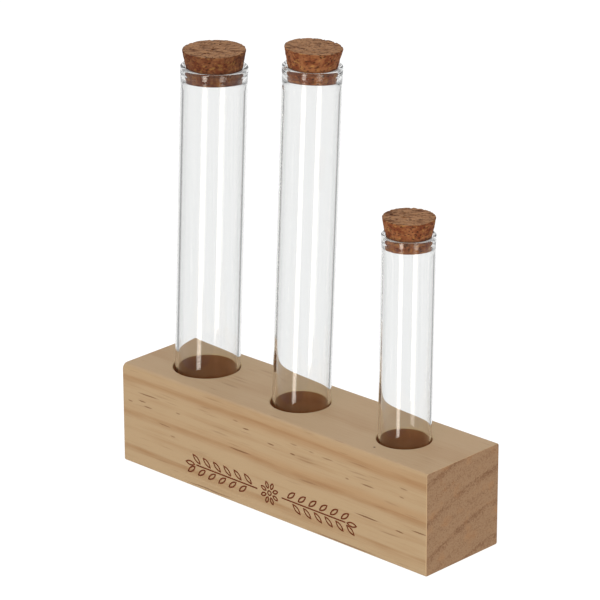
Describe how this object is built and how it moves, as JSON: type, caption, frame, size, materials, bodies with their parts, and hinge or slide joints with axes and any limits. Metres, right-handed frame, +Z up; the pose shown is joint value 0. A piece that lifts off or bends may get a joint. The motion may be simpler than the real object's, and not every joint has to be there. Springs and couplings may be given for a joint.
{
  "type": "test tube vase",
  "caption": "Glass test tubes with cork stoppers standing in holes drilled in a pine block, for dried flowers and herbs.",
  "frame": {"origin": "middle of the wooden block's underside, where it stands", "axes": "+X along the block towards the short tube, +Z up along the tubes, -Y out of the engraved front face"},
  "size_m": [0.1986, 0.05, 0.2275],
  "materials": {
    "pine": "planed bare pine with a burnt engraving",
    "glass": "clear polished",
    "cork": "raw natural cork, pitted"
  },
  "bodies": {
    "block": {"wood_block": "pine"},
    "tube_left": {"tube_left": "glass"},
    "cork_left": {"cork_left": "cork"},
    "tube_middle": {"tube_middle": "glass"},
    "cork_middle": {"cork_middle": "cork"},
    "tube_right": {"tube_right": "glass"},
    "cork_right": {"cork_right": "cork"}
  },
  "joints": [
    {"name": "lift_tube_left", "type": "slide", "parent": "block", "child": "tube_left", "axis": [0.0234, 0.0234, 0.9995], "range_m": [0, 0.05]},
    {"name": "pull_cork_left", "type": "slide", "parent": "tube_left", "child": "cork_left", "axis": [0.0234, 0.0234, 0.9995], "range_m": [0, 0.03]},
    {"name": "lift_tube_middle", "type": "slide", "parent": "block", "child": "tube_middle", "axis": [0.0241, 0.0241, 0.9994], "range_m": [0, 0.05]},
    {"name": "pull_cork_middle", "type": "slide", "parent": "tube_middle", "child": "cork_middle", "axis": [0.0241, 0.0241, 0.9994], "range_m": [0, 0.03]},
    {"name": "lift_tube_right", "type": "slide", "parent": "block", "child": "tube_right", "axis": [0.0086, 0.0086, 0.9999], "range_m": [0, 0.05]},
    {"name": "pull_cork_right", "type": "slide", "parent": "tube_right", "child": "cork_right", "axis": [0.0086, 0.0086, 0.9999], "range_m": [0, 0.03]}
  ]
}
